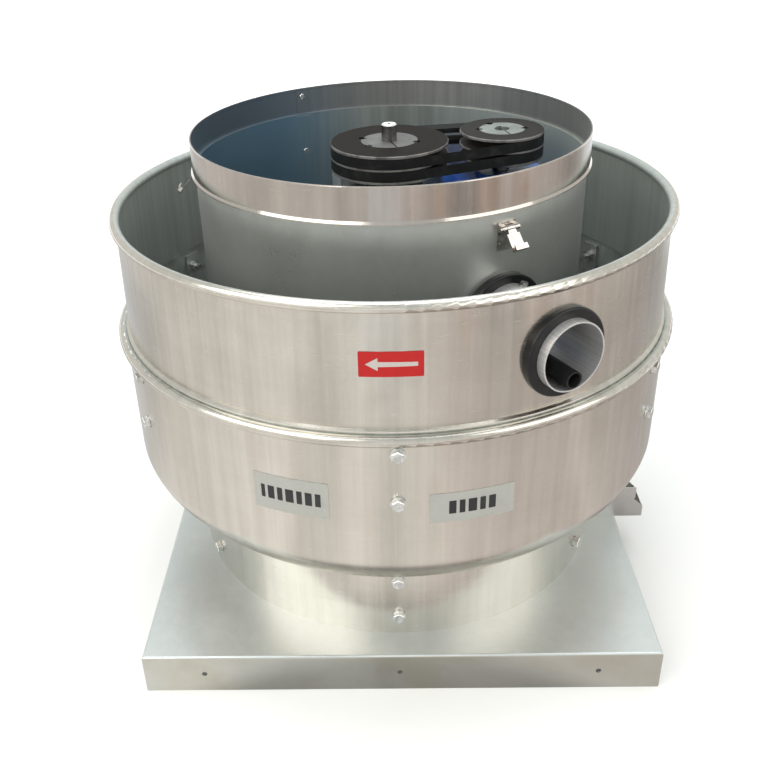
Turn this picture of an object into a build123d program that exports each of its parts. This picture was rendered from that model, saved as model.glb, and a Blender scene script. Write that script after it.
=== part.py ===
from build123d import *
import os
from math import acos, cos, radians, sin, sqrt, tan

# Belt-drive upblast exhaust fan, millimetres, +Z up.
# The origin is the centre of the curb cap's lower edge; the fan shaft is the Z axis.
# Azimuth is measured from the front (-Y) towards the right (+X).

# Curb cap
CAP_WIDTH = 640
CAP_HEIGHT = 56
CAP_SHEET = 1.6
CAP_FOLD_R = 3
CAP_THROAT_R = 215
SKIRT_HOLE_R = 3.5
SKIRT_HOLE_Z = 28
SKIRT_HOLE_PITCH = 244

# Inlet cone
INLET_R = 190
INLET_LOW = 36
INLET_STRAIGHT_TOP = 64
THROAT_R = 128.5
THROAT_Z = 128
CONE_SHEET = 1.5
CONE_FLANGE_R = 261
CONE_RIVET_R = 240
NECK_RIVET_R = 270.5
BASE_RIVETS = 12

# Windband: neck, bowl and upper ring
NECK_R = 280
NECK_TOP = 156
NECK_FLANGE_R = 263
BOWL_R = 351.5
BOWL_WALL_Z = 236
BOWL_FLARE = 10
BOWL_ROUND = 38
BOWL_SHEET = 1.5
LOWER_BEAD = (353.5, 391.5, 6.5)
RING_SHEET = 1.2
RING_SKIRT_LOW = 362
RING_SKIRT_R = 349.7
RING_STEP_Z = 400
RING_LOW_R = 346
RING_TOP_R = 343
RIM_BEAD = (344, 538, 6)

# Struts, bolts and nuts
STRUT_AZIMUTHS = [0, 60, 120, 180, 240, 300]
STRUT_SHEET = 3
TAB_WIDTH = 25
NECK_TAB_R = 278.15
WALL_TAB_R = 348.2
DRUM_TAB_R = 240.3
NECK_BOLT_Z = [85, 140]
BOWL_BOLT_Z = [312, 374]
BOLT_R = 4
BOLT_HOLE_R = 4.3
HEX_FLATS = 13
HEX_HEIGHT = 5.5
HEX_FLANGE_R = 8.5
HEX_FLANGE = 1.6
NUT_HEIGHT = 6.5

# Motor drum and its collar
DRUM_R = 240
DRUM_SHEET = 1.2
DRUM_LOW = 285
DRUM_TOP = 588
COLLAR_R = 243.2
COLLAR_LOW = 583
COLLAR_TOP = 623.7
COLLAR_HEM_R = 245
SEAM_AZIMUTH = -150
SEAM_RIVETS = ((612, COLLAR_R), (535, DRUM_R), (420, DRUM_R))
FLOOR_SHEET = 2
FLOOR_SHAFT_HOLE_R = 26

# Breather tube and wiring conduit
TUBE_AZIMUTH = 30
TUBE_Z = 463
TUBE_R = 39
TUBE_WALL = 1.5
TUBE_MOUTH = 362
TUBE_INNER_END = 222
GROMMET_R = 50
GROMMET_HOLE_R = 44
OUTER_GROMMET = (338, 351)
INNER_GROMMET = (233, 248)
CONDUIT_R = 10
CONDUIT_BORE_R = 8
CONDUIT_ANGLE = -85
SCREW_RADIUS_OUT = 258
SCREW_ANGLE = 20

# Cover latches
LATCH_AZIMUTHS = [30, 150, 270]
LATCH_AXIS_R = 247
LATCH_AXIS_Z = 566
KNUCKLE_R = 3.2
PIN_R = 1.5
PIN_BORE_R = 1.56
LEVER_DROOP = 50
LEVER_LENGTH = 27
LEVER_WIDTH = 16
LEVER_SHEET = 1.6
KNUCKLE_HALF = 5
LATCH_HALF = 11

# Drain spout
SPOUT_Y = -24
SPOUT_WIDTH = 50
SPOUT_END = 358
SPOUT_SHEET = 1.5

# Belt drive
DRIVE_ANGLE = 14.5
MOTOR_X = 147.3
PULLEY_LOW = 569
GROOVE_PITCH = 15
GROOVE_EDGE = 10
GROOVE_PITCH_WIDTH = 11
GROOVE_HALF_ANGLE = 19
GROOVE_ABOVE = 2.75
GROOVE_BELOW = 11
BELT_GAP = 0.3
BELT_DEPTH = 10
FAN_PITCH_R = 70
MOTOR_PITCH_R = 50
FAN_BUSH_R = 35
MOTOR_BUSH_R = 28.5
FAN_BUSH_LENGTH = 31.8
MOTOR_BUSH_LENGTH = 25.4
BUSH_TAPER = 2
BUSH_SCREW_R = 4.6
FAN_BUSH_HOLES = (147.5, 209.5, 327.5)
MOTOR_BUSH_HOLES = (-14.5, 103.5, 165.5)
SHAFT_R = 9.5
SHAFT_FIT = 0.02
SHAFT_LOW = 235
SHAFT_TOP = 624

# Bearings and drive frame
FRAME_FRONT = 80
FRAME_SHEET = 5
BASE_LOW = 305
BASE_FRONT = -72
FRAME_LEFT = -80
FRAME_RIGHT = 218
PLATE_LEFT = (-56, 550)
PLATE_TOP = (-20, 150, 588)
PLATE_RIGHT = 512
PLATE_FLANGE = 18
ISOLATOR_R = 14
BEARING_HEIGHT = 33.3
BEARING_Z = [360, 525]
BEARING_OUTER_R = 23.5
RISER_HALF = 56
RISER_SHEET = 4

# Motor
MOTOR_LOW = 318
MOTOR_TOP = 552
STATOR_LOW = 372
STATOR_TOP = 508
SHAFT_SOCKET = 447
MOTOR_R = 70
FIN_R = 77
FIN_COUNT = 32
FOOT_GAP = 0.3
FOOT_HOLE_X = 62.5
FOOT_HOLE_Z = [390, 490]
MOTOR_SHAFT_TOP = 588
MOTOR_TRAVEL = 10
TENSION_ROD_Z = [410, 470]
TENSION_ROD_R = 2.95
TENSION_HOLE_R = 3.3
TENSION_NUT = (10, 5)
FOOT_THICKNESS = 9
FOOT_OUTER = 74
FOOT_INNER = 48
FOOT_SPAN = (375, 505)

# Centrifugal wheel
WHEEL_R = 200
WHEEL_INLET_R = 131.5
SHROUD_LOW = 118
SHROUD_EDGE_Z = 150
SHROUD_SEGMENTS = 8
SHROUD_JOINT = 0.04
BACKPLATE_Z = 235
WHEEL_SHEET = 2.5
BLADE_COUNT = 11
BLADE_INNER_R = 128
BLADE_LEAN = 42


def save(name, *solids):
    """Write one node; several solids go in as one group."""
    solids = [s for item in solids for s in (item if isinstance(item, list) else [item])]
    shape = solids[0] if len(solids) == 1 else Compound(children=[Part() + s for s in solids])
    export_step(shape, f"parts/{name}.step")


def turned(profile):
    """Revolve a closed face, drawn with X as radius and Z up, about the Z axis."""
    return revolve(profile, Axis.Z, 360)


def ring(r_in, r_out, low, high):
    """A plain tube on the Z axis."""
    return turned(outline([(r_in, low), (r_out, low), (r_out, high), (r_in, high)]))


def outline(points):
    """A straight-sided face in the XZ plane from (radius, z) points."""
    return make_face(Polyline(*[(x, 0, z) for x, z in points], close=True).edges())


def rod(radius, low, high, x=0, y=0):
    """A vertical round bar."""
    return Pos(x, y, low) * extrude(Circle(radius), high - low)


def block(x0, x1, y0, y1, z0, z1):
    """A box between two corners."""
    return Pos(x0, y0, z0) * Box(x1 - x0, y1 - y0, z1 - z0, align=(Align.MIN,) * 3)


def bar_x(radius, x0, x1, y=0, z=0):
    """A round bar along X."""
    return Pos(x0, y, z) * Rot(0, 90, 0) * extrude(Circle(radius), x1 - x0)


def bar_y(radius, y0, y1, x=0, z=0):
    """A round bar along Y."""
    return Pos(x, y0, z) * Rot(-90, 0, 0) * extrude(Circle(radius), y1 - y0)


def at_azimuth(azimuth, shape):
    """Turn a shape built with +X pointing outward to an azimuth."""
    return Rot(0, 0, azimuth - 90) * shape


def in_drive(shape):
    """Turn a shape built with +X from the fan shaft to the motor into its place."""
    return Rot(0, 0, DRIVE_ANGLE) * shape


def hexagon(flats, height):
    return extrude(RegularPolygon(flats / sqrt(3), 6), height)


def radial_bolt(seat_r, z, shank):
    """Hex flange bolt along +X with its flange seated at a radius, shank pointing inward."""
    head = extrude(Circle(HEX_FLANGE_R), HEX_FLANGE)
    head += Pos(0, 0, HEX_FLANGE) * chamfer(
        hexagon(HEX_FLATS, HEX_HEIGHT).faces().sort_by(Axis.Z)[-1].edges(), 0.6
    )
    head += Pos(0, 0, -shank) * extrude(Circle(BOLT_R), shank)
    return Pos(seat_r, 0, z) * Rot(0, 90, 0) * head


def radial_nut(outer_r, z):
    """Plain hex nut along X whose outer face is at a radius."""
    nut = hexagon(HEX_FLATS, NUT_HEIGHT) - extrude(Circle(BOLT_R + 0.05), NUT_HEIGHT)
    return Pos(outer_r - NUT_HEIGHT, 0, z) * Rot(0, 90, 0) * nut


def rivet(grip, radius=2, head_r=4, head=1.6):
    """Blind rivet standing on z = 0 with its shank going down."""
    dome = chamfer(extrude(Circle(head_r), head).faces().sort_by(Axis.Z)[-1].edges(), 0.7)
    return dome + Pos(0, 0, -grip) * extrude(Circle(radius), grip)


# ---------------------------------------------------------------- base and windband


def curb_cap():
    half = CAP_WIDTH / 2
    outer = block(-half, half, -half, half, 0, CAP_HEIGHT)
    outer = fillet(outer.edges().group_by(Axis.Z)[-1], CAP_FOLD_R)
    inside = half - CAP_SHEET
    inner = block(-inside, inside, -inside, inside, -1, CAP_HEIGHT - CAP_SHEET)
    inner = fillet(inner.edges().group_by(Axis.Z)[-1], CAP_FOLD_R - CAP_SHEET)
    cap = outer - inner - rod(CAP_THROAT_R, 0, CAP_HEIGHT + 1)
    for step in (-1, 0, 1):
        along = step * SKIRT_HOLE_PITCH
        cap -= bar_y(SKIRT_HOLE_R, -half - 1, half + 1, along, SKIRT_HOLE_Z)
        cap -= bar_x(SKIRT_HOLE_R, -half - 1, half + 1, along, SKIRT_HOLE_Z)
    for x, y in base_rivet_places() + spout_rivet_places():
        cap -= rod(2.1, CAP_HEIGHT - 4, CAP_HEIGHT + 1, x, y)
    return cap


def base_rivet_places():
    places = []
    for radius, shift in ((CONE_RIVET_R, 0), (NECK_RIVET_R, 15)):
        for i in range(BASE_RIVETS):
            angle = radians(360 / BASE_RIVETS * i + shift)
            places.append((radius * cos(angle), radius * sin(angle)))
    return places


def spout_rivet_places():
    return [(x, SPOUT_Y + side * 16) for x in (292, 312) for side in (-1, 1)]


def inlet_cone():
    """Spun inlet: collar, fixing flange and a bell that narrows to the wheel."""
    top = CAP_HEIGHT + CONE_SHEET
    skin = CONE_SHEET
    inner = [
        Line((INLET_R, 0, INLET_LOW), (INLET_R, 0, INLET_STRAIGHT_TOP)),
        Spline(
            [(INLET_R, 0, INLET_STRAIGHT_TOP), (THROAT_R, 0, THROAT_Z)],
            tangents=[(0, 0, 1), (0, 0, 1)],
        ),
    ]
    outer = [
        Line((INLET_R + skin, 0, INLET_STRAIGHT_TOP + 0.5), (INLET_R + skin, 0, INLET_LOW)),
        Spline(
            [(THROAT_R + skin, 0, THROAT_Z), (INLET_R + skin, 0, INLET_STRAIGHT_TOP + 0.5)],
            tangents=[(0, 0, -1), (0, 0, -1)],
        ),
    ]
    caps = [
        Line((INLET_R, 0, INLET_LOW), (INLET_R + skin, 0, INLET_LOW)),
        Line((THROAT_R, 0, THROAT_Z), (THROAT_R + skin, 0, THROAT_Z)),
    ]
    bell = turned(make_face(Wire(inner + outer + caps).edges()))
    flange = ring(INLET_R + 0.5, CONE_FLANGE_R, CAP_HEIGHT, top)
    cone = bell + flange
    for x, y in base_rivet_places()[:BASE_RIVETS]:
        cone -= rod(2.1, CAP_HEIGHT - 1, top + 1, x, y)
    return cone


def bowl_curve(start_r, start_z, wall_r):
    """Line of the bowl from its crease on the neck up to its upright wall."""
    return Bezier(
        (start_r, 0, start_z),
        (start_r + BOWL_FLARE, 0, start_z),
        (wall_r, 0, BOWL_WALL_Z - BOWL_ROUND),
        (wall_r, 0, BOWL_WALL_Z),
    )


def lower_windband():
    """Spun neck that flares into a deep bowl with a wired bead at its mouth."""
    skin = BOWL_SHEET
    base, bead_r, bead_z, bead = CAP_HEIGHT, *LOWER_BEAD
    bowl_out = bowl_curve(NECK_R, NECK_TOP, BOWL_R)
    bowl_in = bowl_curve(NECK_R - skin, NECK_TOP + skin, BOWL_R - skin)
    edges = [
        Line((NECK_FLANGE_R, 0, base), (NECK_R, 0, base)),
        Line((NECK_R, 0, base), (NECK_R, 0, NECK_TOP)),
        bowl_out,
        Line((BOWL_R, 0, BOWL_WALL_Z), (BOWL_R, 0, bead_z)),
        Line((BOWL_R, 0, bead_z), (BOWL_R - skin, 0, bead_z)),
        Line((BOWL_R - skin, 0, bead_z), (BOWL_R - skin, 0, BOWL_WALL_Z)),
        bowl_in,
        Line((NECK_R - skin, 0, NECK_TOP + skin), (NECK_R - skin, 0, base + skin)),
        Line((NECK_R - skin, 0, base + skin), (NECK_FLANGE_R, 0, base + skin)),
        Line((NECK_FLANGE_R, 0, base + skin), (NECK_FLANGE_R, 0, base)),
    ]
    band = turned(make_face(Wire(edges).edges()))
    band += Torus(bead_r, bead).moved(Location((0, 0, bead_z)))
    band -= rod(BOWL_R - skin, bead_z - 2 * bead, bead_z + 2 * bead)
    for azimuth in STRUT_AZIMUTHS:
        for z in NECK_BOLT_Z + BOWL_BOLT_Z:
            band -= at_azimuth(azimuth, bar_x(BOLT_HOLE_R, 270, 360, 0, z))
    for x, y in base_rivet_places()[BASE_RIVETS:]:
        band -= rod(2.1, base - 1, base + skin + 1, x, y)
    half = SPOUT_WIDTH / 2 - 3
    band -= block(262, 290, SPOUT_Y - half, SPOUT_Y + half, base + 4, base + 30)
    return band


def ring_sheet(extra):
    """The upper ring's rolled sheet with no holes or rim, thickened by an extra on each face."""
    step = RING_STEP_Z
    line = [
        (RING_SKIRT_R, RING_SKIRT_LOW),
        (RING_SKIRT_R, step - 1),
        (RING_SKIRT_R - 0.4, step + 0.6),
        (RING_LOW_R, step + 2.2),
        (RING_TOP_R, RIM_BEAD[1]),
    ]
    outer = [(r + extra, z) for r, z in line]
    inner = [(r - RING_SHEET - extra, z) for r, z in reversed(line)]
    return turned(outline(outer + inner))


def upper_windband():
    """Rolled ring whose stepped skirt drops inside the bowl's mouth."""
    rim_r, rim_z, rim = RIM_BEAD
    band = ring_sheet(0)
    band += Torus(rim_r, rim).moved(Location((0, 0, rim_z)))
    for azimuth in STRUT_AZIMUTHS:
        band -= at_azimuth(azimuth, bar_x(BOLT_HOLE_R, 335, 360, 0, BOWL_BOLT_Z[1]))
    band -= at_azimuth(TUBE_AZIMUTH, bar_x(GROMMET_HOLE_R, 320, 360, 0, TUBE_Z))
    return band


def strut():
    """Radial web with bent tabs that ties neck, bowl and motor drum together."""
    web = [
        (262, 66),
        (NECK_TAB_R - 2, 66),
        (NECK_TAB_R - 2, NECK_TOP + 2),
        (300, 192),
        (330, 232),
        (WALL_TAB_R - 2, 266),
        (WALL_TAB_R - 2, 345),
        (DRUM_TAB_R + 2, 332),
        (DRUM_TAB_R + 2, 292),
        (262, 266),
    ]
    half = STRUT_SHEET / 2
    body = extrude(outline(web), half, both=True)
    tabs = (
        (NECK_TAB_R - STRUT_SHEET, NECK_TAB_R, 66, 152),
        (WALL_TAB_R - STRUT_SHEET, WALL_TAB_R, 296, 392),
        (DRUM_TAB_R, DRUM_TAB_R + STRUT_SHEET, 292, 334),
    )
    for r0, r1, z0, z1 in tabs:
        body += block(r0, r1, -TAB_WIDTH / 2, TAB_WIDTH / 2, z0, z1)
    for z in NECK_BOLT_Z + BOWL_BOLT_Z:
        body -= bar_x(BOLT_HOLE_R, 250, 360, 0, z)
        slot = NUT_HEIGHT + 12
        face = (NECK_TAB_R if z in NECK_BOLT_Z else WALL_TAB_R) - STRUT_SHEET
        body -= block(face - slot, face, -9, 9, z - 9, z + 9)
    return body


def windband_bolts():
    bolts = []
    for azimuth in STRUT_AZIMUTHS:
        for z in NECK_BOLT_Z:
            bolts.append(at_azimuth(azimuth, radial_bolt(NECK_R + 0.05, z, 18)))
        for z in BOWL_BOLT_Z:
            bolts.append(at_azimuth(azimuth, radial_bolt(BOWL_R + 0.05, z, 20)))
    return bolts


def strut_nuts():
    nuts = []
    for azimuth in STRUT_AZIMUTHS:
        for z in NECK_BOLT_Z:
            nuts.append(at_azimuth(azimuth, radial_nut(NECK_TAB_R - STRUT_SHEET, z)))
        for z in BOWL_BOLT_Z:
            nuts.append(at_azimuth(azimuth, radial_nut(WALL_TAB_R - STRUT_SHEET, z)))
    return nuts


def drain_spout():
    """Open trough on the cap that carries run-off away from the neck."""
    low, skin, half = CAP_HEIGHT, SPOUT_SHEET, SPOUT_WIDTH / 2
    side = [
        (270, low),
        (SPOUT_END, low),
        (SPOUT_END, low + 17),
        (SPOUT_END - 14, low + 30),
        (SPOUT_END - 12, low + 32),
        (SPOUT_END - 12, low + 50),
        (270, low + 50),
    ]
    spout = Pos(0, SPOUT_Y, 0) * extrude(outline(side), half, both=True)
    spout -= block(260, SPOUT_END - skin, SPOUT_Y - half + skin, SPOUT_Y + half - skin,
                   low + skin, low + 60)
    spout -= rod(NECK_R + 0.4, low - 1, low + 60)
    for x, y in spout_rivet_places():
        spout -= rod(2.1, low - 1, low + skin + 1, x, y)
    return spout


def sheet_rivets():
    """Rivets of the inlet cone, neck flange and spout; those of the seams are set from inside."""
    top = CAP_HEIGHT + CONE_SHEET
    places = base_rivet_places() + spout_rivet_places()
    rivets = [Pos(x, y, top) * rivet(4.5) for x, y in places]
    for z, wall_r in SEAM_RIVETS:
        stud = Pos(wall_r - DRUM_SHEET - 0.05, 0, z) * Rot(0, -90, 0) * rivet(DRUM_SHEET)
        rivets.append(at_azimuth(SEAM_AZIMUTH, stud))
    return rivets


# ---------------------------------------------------------------- motor drum


def tube_hole(radius, start, end):
    return at_azimuth(TUBE_AZIMUTH, bar_x(radius, start, end, 0, TUBE_Z))


def seam_holes():
    holes = Part()
    for z, wall_r in SEAM_RIVETS:
        holes += at_azimuth(SEAM_AZIMUTH, bar_x(2.1, wall_r - 5, wall_r + 5, 0, z))
    return holes


def motor_drum():
    """Rolled cylinder with a turned-out top edge that carries the collar."""
    skin, r, lip = DRUM_SHEET, DRUM_R, COLLAR_R - DRUM_SHEET - 0.05
    profile = [
        (r - skin, DRUM_LOW),
        (r, DRUM_LOW),
        (r, DRUM_TOP - skin),
        (lip, DRUM_TOP - skin),
        (lip, DRUM_TOP),
        (r - skin, DRUM_TOP),
    ]
    drum = turned(outline(profile))
    drum -= tube_hole(GROMMET_HOLE_R, 200, 260)
    return drum - seam_holes()


def drum_floor():
    skin, edge = FLOOR_SHEET, DRUM_R - DRUM_SHEET - 0.1
    profile = [
        (FLOOR_SHAFT_HOLE_R, DRUM_LOW),
        (edge, DRUM_LOW),
        (edge, DRUM_LOW + 15),
        (edge - skin, DRUM_LOW + 15),
        (edge - skin, DRUM_LOW + skin),
        (FLOOR_SHAFT_HOLE_R, DRUM_LOW + skin),
    ]
    floor = turned(outline(profile))
    for x, y in isolator_places():
        floor -= in_drive(rod(4.3, DRUM_LOW - 1, DRUM_LOW + 5, x, y))
    return floor


def drum_collar():
    """Bright ring around the drum's top, with a rolled hem; the weather cover fits over it."""
    skin, r = DRUM_SHEET, COLLAR_R
    profile = [
        (r - skin, COLLAR_LOW + 3),
        (COLLAR_HEM_R - skin, COLLAR_LOW),
        (COLLAR_HEM_R, COLLAR_LOW),
        (COLLAR_HEM_R, COLLAR_LOW + 1),
        (r, COLLAR_LOW + 4),
        (r, COLLAR_TOP - 1),
        (r - 0.3, COLLAR_TOP),
        (r - skin - 0.6, COLLAR_TOP),
        (r - skin - 0.6, COLLAR_TOP - 2.5),
        (r - skin, COLLAR_TOP - 3),
    ]
    return turned(outline(profile)) - seam_holes()


def breather_tube():
    tube = bar_x(TUBE_R, TUBE_INNER_END, TUBE_MOUTH, 0, TUBE_Z)
    tube -= bar_x(TUBE_R - TUBE_WALL, TUBE_INNER_END - 1, TUBE_MOUTH + 1, 0, TUBE_Z)
    return at_azimuth(TUBE_AZIMUTH, tube) - tube_screw_at(rod(1.7, -10, 10))


def tube_screw_at(shape):
    """Place a shape built on the Z axis, seated at z = 0, on the tube's upper side."""
    seat = Pos(SCREW_RADIUS_OUT, 0, TUBE_Z) * Rot(SCREW_ANGLE * -1, 0, 0) * Pos(0, 0, TUBE_R)
    return at_azimuth(TUBE_AZIMUTH, seat * shape)


def tube_screw():
    head = extrude(Circle(6), 1.2) + Pos(0, 0, 1.2) * hexagon(8, 4)
    return tube_screw_at(Pos(0, 0, 0.1) * (head + Pos(0, 0, -8) * extrude(Circle(1.6), 8)))


def grommet(sheet, start, end):
    """Rubber ring around the tube that grips the edge of the hole in a curved wall."""
    body = Pos(start, 0, TUBE_Z) * Rot(0, 90, 0) * extrude(Circle(GROMMET_R), end - start)
    body = fillet(body.edges().filter_by(GeomType.CIRCLE), 2.5)
    body -= bar_x(TUBE_R + 0.05, start - 1, end + 1, 0, TUBE_Z)
    sheet -= bar_x(GROMMET_HOLE_R - 0.2, 200, 400, 0, TUBE_Z)
    return at_azimuth(TUBE_AZIMUTH, body - sheet)


def wiring_conduit():
    """Short conduit lying on the bottom of the breather tube."""
    reach = TUBE_R - TUBE_WALL - CONDUIT_R - 0.1
    y = reach * cos(radians(CONDUIT_ANGLE))
    z = TUBE_Z + reach * sin(radians(CONDUIT_ANGLE))
    pipe = bar_x(CONDUIT_R, TUBE_INNER_END + 2, TUBE_MOUTH, y, z)
    pipe -= bar_x(CONDUIT_BORE_R, TUBE_INNER_END, TUBE_MOUTH + 2, y, z)
    return at_azimuth(TUBE_AZIMUTH, pipe)


# ---------------------------------------------------------------- latches


def latch_base():
    """Riveted plate with two hinge knuckles; built at azimuth 90."""
    plate = block(DRUM_R + 0.05, DRUM_R + 1.55, -LATCH_HALF, LATCH_HALF, 540, 572)
    arm = block(DRUM_R + 1, LATCH_AXIS_R, -LATCH_HALF, LATCH_HALF, LATCH_AXIS_Z + 0.6,
                LATCH_AXIS_Z + KNUCKLE_R)
    barrel = bar_y(KNUCKLE_R, -LATCH_HALF, LATCH_HALF, LATCH_AXIS_R, LATCH_AXIS_Z)
    body = plate + arm + barrel
    gap = KNUCKLE_HALF + 0.3
    body -= block(LATCH_AXIS_R - 4.4, LATCH_AXIS_R + 6, -gap, gap, LATCH_AXIS_Z - 7,
                  LATCH_AXIS_Z + 7)
    body -= bar_y(PIN_R + 0.02, -20, 20, LATCH_AXIS_R, LATCH_AXIS_Z)
    for y in (-7, 7):
        body += bar_x(2.2, DRUM_R + 1.5, DRUM_R + 2.6, y, 547)
    return body


def latch_lever():
    """Draw lever: knuckle, flat shank and an upturned hook; drawn level, then drooped."""
    half = LEVER_WIDTH / 2
    knuckle = bar_y(KNUCKLE_R, -KNUCKLE_HALF, KNUCKLE_HALF, 0, 0)
    neck = block(0, 8, -KNUCKLE_HALF, KNUCKLE_HALF, 0.4, 0.4 + LEVER_SHEET)
    shank = block(7, LEVER_LENGTH, -half, half, 0.4, 0.4 + LEVER_SHEET)
    hook = block(LEVER_LENGTH - LEVER_SHEET, LEVER_LENGTH, -half, half, 0.4, 8)
    lip = block(LEVER_LENGTH - 6, LEVER_LENGTH, -half, half, 8 - LEVER_SHEET, 8)
    lever = knuckle + neck + shank + hook + lip
    lever -= bar_y(PIN_BORE_R, -20, 20, 0, 0)
    return Pos(LATCH_AXIS_R, 0, LATCH_AXIS_Z) * Rot(0, LEVER_DROOP, 0) * lever


def latch_pin():
    pin = bar_y(PIN_R, -LATCH_HALF - 1.5, LATCH_HALF, LATCH_AXIS_R, LATCH_AXIS_Z)
    return pin + bar_y(2.6, -LATCH_HALF - 2.5, -LATCH_HALF - 0.05, LATCH_AXIS_R, LATCH_AXIS_Z)


# ---------------------------------------------------------------- drive frame and bearings


def isolator_places():
    return [(-67, -50), (-67, 62), (165, -50), (165, 62)]


def drive_frame():
    """Welded base and stepped upright plate that carry the bearings and the motor."""
    back = FRAME_FRONT + FRAME_SHEET
    frame = block(FRAME_LEFT, FRAME_RIGHT, BASE_FRONT, back, BASE_LOW, BASE_LOW + FRAME_SHEET)
    left, left_z = PLATE_LEFT
    start, end, top = PLATE_TOP
    plate = outline([
        (left, BASE_LOW), (FRAME_RIGHT, BASE_LOW), (FRAME_RIGHT, PLATE_RIGHT), (end, PLATE_RIGHT),
        (end, top), (start, top), (start, left_z), (left, left_z)])
    half = FRAME_SHEET / 2
    frame += Pos(0, FRAME_FRONT + half, 0) * extrude(plate, half, both=True)
    frame += block(start, end, back - 1, FRAME_FRONT + PLATE_FLANGE, top - FRAME_SHEET, top)
    for x in (-50, 30, 140):
        gusset = [(back - 1, BASE_LOW + 1), (back + 38, BASE_LOW + 1), (back - 1, BASE_LOW + 130)]
        face = make_face(Polyline(*[(0, y, z) for y, z in gusset], close=True).edges())
        frame += Pos(x, 0, 0) * extrude(face, FRAME_SHEET)
    frame += block(-60, 160, back - 1, back + 38, BASE_LOW, BASE_LOW + FRAME_SHEET)
    frame -= rod(18, BASE_LOW - 1, BASE_LOW + FRAME_SHEET + 1)
    for x, y in isolator_places():
        frame -= rod(4.3, BASE_LOW - 1, BASE_LOW + FRAME_SHEET + 1, x, y)
    for x in (-FOOT_HOLE_X, FOOT_HOLE_X):
        for z in FOOT_HOLE_Z:
            centre = MOTOR_X + x
            left, right = centre - MOTOR_TRAVEL - 1, centre + 1
            frame -= bar_y(4.5, FRAME_FRONT - 1, back + 1, left, z)
            frame -= block(left, right, FRAME_FRONT - 1, back + 1, z - 4.5, z + 4.5)
            frame -= bar_y(4.5, FRAME_FRONT - 1, back + 1, right, z)
    return in_drive(frame)


def vibration_isolators():
    """Rubber mounts with a stud through the drum floor and the frame base."""
    low, high = DRUM_LOW + FLOOR_SHEET, BASE_LOW
    waist = outline([(0, low), (ISOLATOR_R, low), (ISOLATOR_R - 3, (low + high) / 2),
                     (ISOLATOR_R, high), (0, high)])
    mount = turned(waist) + rod(BOLT_R, DRUM_LOW - 8, BASE_LOW + 11)
    mount += Pos(0, 0, high + FRAME_SHEET) * hexagon(HEX_FLATS, NUT_HEIGHT)
    mount += Pos(0, 0, DRUM_LOW - NUT_HEIGHT) * hexagon(HEX_FLATS, NUT_HEIGHT)
    return [in_drive(Pos(x, y, 0) * mount) for x, y in isolator_places()]


def bearing_riser():
    """Channel that brings the pillow bearings forward of the upright plate."""
    low, high = BASE_LOW + FRAME_SHEET, PULLEY_LOW - 14
    riser = block(-RISER_HALF, RISER_HALF, BEARING_HEIGHT, FRAME_FRONT, low, high)
    inside = RISER_HALF - RISER_SHEET
    riser -= block(-inside, inside, BEARING_HEIGHT + RISER_SHEET, FRAME_FRONT + 1, low - 1, high + 1)
    for z in BEARING_Z:
        for x in (-38, 38):
            riser -= bar_y(BOLT_HOLE_R, 20, 50, x, z)
    for z in TENSION_ROD_Z:
        riser -= bar_x(TENSION_HOLE_R, 40, 60, tension_y(), z)
    return in_drive(riser)


def tension_y():
    """The tension rods lie in the motor foot's thickness, their nuts just clear of the plate."""
    return FRAME_FRONT - TENSION_NUT[0] / 2 - 0.2


def tension_nuts():
    flats, height = TENSION_NUT
    nut = hexagon(flats, height) - extrude(Circle(TENSION_ROD_R + 0.07), height)
    nut = Rot(0, 90, 0) * nut
    starts = (RISER_HALF + 0.02, RISER_HALF - RISER_SHEET - height - 0.02)
    return [in_drive(Pos(x, tension_y(), z) * nut) for x in starts for z in TENSION_ROD_Z]


def bearing_housing(z):
    """Cast pillow block with its base on the riser."""
    body = block(-50, 50, 21.3, BEARING_HEIGHT, z - 17, z + 17)
    body = fillet(body.edges().filter_by(Axis.Y), 6)
    body += block(-28, 28, 0, 26, z - 15, z + 15)
    body += rod(31, z - 15, z + 15)
    body -= rod(BEARING_OUTER_R, z - 20, z + 20)
    for x in (-38, 38):
        body -= bar_y(BOLT_HOLE_R, 20, 35, x, z)
    body += bar_y(3, -36, -30.5, 0, z)
    return in_drive(body)


def bearing_outer_rings():
    return [ring(17.2, BEARING_OUTER_R - 0.02, z - 10, z + 10) for z in BEARING_Z]


def bearing_inner_rings():
    """Extended inner ring with ball-track shoulders, one for each bearing."""
    rings = []
    for z in BEARING_Z:
        body = ring(SHAFT_R + SHAFT_FIT, 13.4, z - 15.5, z + 15.5)
        rings.append(body + ring(13, 17.1, z - 7, z + 7))
    return rings


def bearing_bolts():
    bolts = []
    for z in BEARING_Z:
        for x in (-38, 38):
            head = Rot(90, 0, 0) * hexagon(HEX_FLATS, HEX_HEIGHT)
            bolt = Pos(x, 21.3, z) * head + bar_y(BOLT_R, 21.2, 46, x, z)
            bolt += Pos(x, 44, z) * Rot(90, 0, 0) * hexagon(HEX_FLATS, NUT_HEIGHT)
            bolts.append(in_drive(bolt))
    return bolts


# ---------------------------------------------------------------- pulleys and belts


def groove_half(radius, pitch_r):
    """Half the groove's width at a radius."""
    return GROOVE_PITCH_WIDTH / 2 + tan(radians(GROOVE_HALF_ANGLE)) * (radius - pitch_r)


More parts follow.
